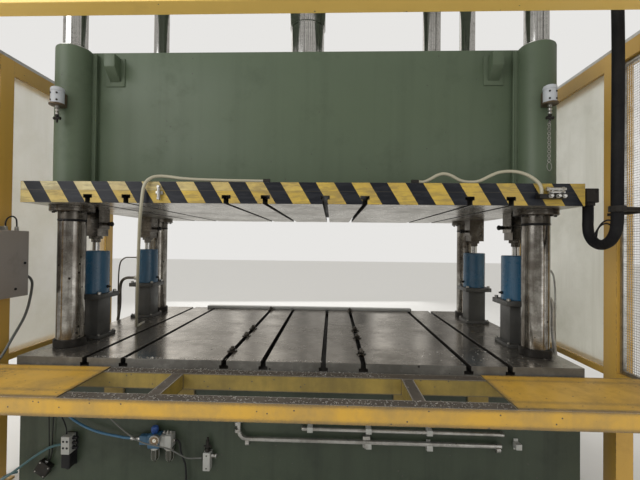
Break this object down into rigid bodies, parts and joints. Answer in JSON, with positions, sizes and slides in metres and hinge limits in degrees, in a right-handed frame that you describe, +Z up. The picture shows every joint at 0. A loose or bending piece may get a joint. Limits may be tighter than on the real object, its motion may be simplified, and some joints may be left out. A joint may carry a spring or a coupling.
{
  "type": "hydraulic press",
  "caption": "Down-stroking hydraulic press with guide columns, a T-slotted table and ram plate, dampers, a crown above and a painted tube guard with a front platform.",
  "frame": {"origin": "on the floor, below the middle of the ram and of the table", "axes": "+X to the operator's right along the press, -Y towards the operator in front, +Z up"},
  "size_m": [4.06, 2.151, 5.02],
  "materials": {
    "green paint": "semi-gloss paint, worn",
    "bed paint": "semi-gloss paint, dirty",
    "yellow paint": "semi-gloss paint, chipped",
    "hazard paint": "yellow paint with dark stripes, worn",
    "machined steel": "machined, stained",
    "bright steel": "ground",
    "chrome": "polished",
    "dark steel": "blackened, oily",
    "blue paint": "gloss paint",
    "white plastic": "satin",
    "cream panel": "matt paint, stained",
    "clear panel": "hazy",
    "grey paint": "satin paint",
    "zinc": "zinc plated",
    "black rubber": "matt",
    "cream hose": "semi-matt"
  },
  "bodies": {
    "root": {"bed": "bed paint", "bolster_table": "machined steel", "column_front_left": "bright steel", "column_front_right": "bright steel", "column_rear_left": "bright steel", "column_rear_right": "bright steel", "distance_sleeve_front_left": "bright steel", "distance_sleeve_front_right": "bright steel", "distance_sleeve_rear_left": "bright steel", "distance_sleeve_rear_right": "bright steel", "crown": "green paint", "main_cylinder": "green paint", "rod_catcher": "dark steel", "damper_stand_front_left": "dark steel", "damper_stand_front_right": "dark steel", "damper_stand_rear_left": "dark steel", "damper_stand_rear_right": "dark steel", "damper_cylinder_front_left": "blue paint", "damper_cylinder_front_right": "blue paint", "damper_cylinder_rear_left": "blue paint", "damper_cylinder_rear_right": "blue paint", "guard_frame_left": "yellow paint", "guard_frame_right": "yellow paint", "side_panel_left": "cream panel", "side_panel_right": "clear panel", "mesh_panel_right": "zinc", "guard_lintel": "yellow paint", "platform_frame": "yellow paint", "control_box": "grey paint", "solenoid_valve": "zinc", "junction_box": "dark steel", "air_service_unit": "zinc", "shutoff_valve": "zinc", "conduit": "zinc", "main_hose": "black rubber", "hose_gland": "zinc", "hose_hook": "dark steel"},
    "ram": {"plunger": "chrome", "catcher_rod": "chrome", "ram_box": "green paint", "ram_plate": "hazard paint", "guide_bush_front_left": "bright steel", "guide_bush_front_right": "bright steel", "guide_bush_rear_left": "bright steel", "guide_bush_rear_right": "bright steel", "stop_block_front_left": "dark steel", "stop_block_front_right": "dark steel", "stop_block_rear_left": "dark steel", "stop_block_rear_right": "dark steel", "oil_feeder_left": "white plastic", "oil_feeder_right": "white plastic", "ram_manifold": "dark steel", "thin_hose_left": "cream hose", "thin_hose_right": "cream hose"},
    "damper_rod_front_left": {"damper_rod_front_left": "chrome"},
    "damper_rod_front_right": {"damper_rod_front_right": "chrome"},
    "damper_rod_rear_left": {"damper_rod_rear_left": "chrome"},
    "damper_rod_rear_right": {"damper_rod_rear_right": "chrome"},
    "control_box_door": {"control_box_door": "grey paint"},
    "regulator_knob": {"regulator_knob": "blue paint"}
  },
  "joints": [
    {"name": "ram_stroke", "type": "slide", "parent": "root", "child": "ram", "axis": [0, 0, 1], "range_m": [0, 0.45]},
    {"name": "damper_travel_front_left", "type": "slide", "parent": "root", "child": "damper_rod_front_left", "axis": [0, 0, 1], "range_m": [-0.05, 0]},
    {"name": "damper_travel_front_right", "type": "slide", "parent": "root", "child": "damper_rod_front_right", "axis": [0, 0, 1], "range_m": [-0.05, 0]},
    {"name": "damper_travel_rear_left", "type": "slide", "parent": "root", "child": "damper_rod_rear_left", "axis": [0, 0, 1], "range_m": [-0.05, 0]},
    {"name": "damper_travel_rear_right", "type": "slide", "parent": "root", "child": "damper_rod_rear_right", "axis": [0, 0, 1], "range_m": [-0.05, 0]},
    {"name": "control_box_door_hinge", "type": "hinge", "parent": "root", "child": "control_box_door", "pos_m": [-1.8044, -0.916, 1.417], "axis": [0, 0, -1], "range_deg": [0, 110]},
    {"name": "regulator_turn", "type": "hinge", "parent": "root", "child": "regulator_knob", "pos_m": [-0.778, -0.8333, 0.4878], "axis": [0, 0, 1], "range_deg": [-180, 180]}
  ]
}
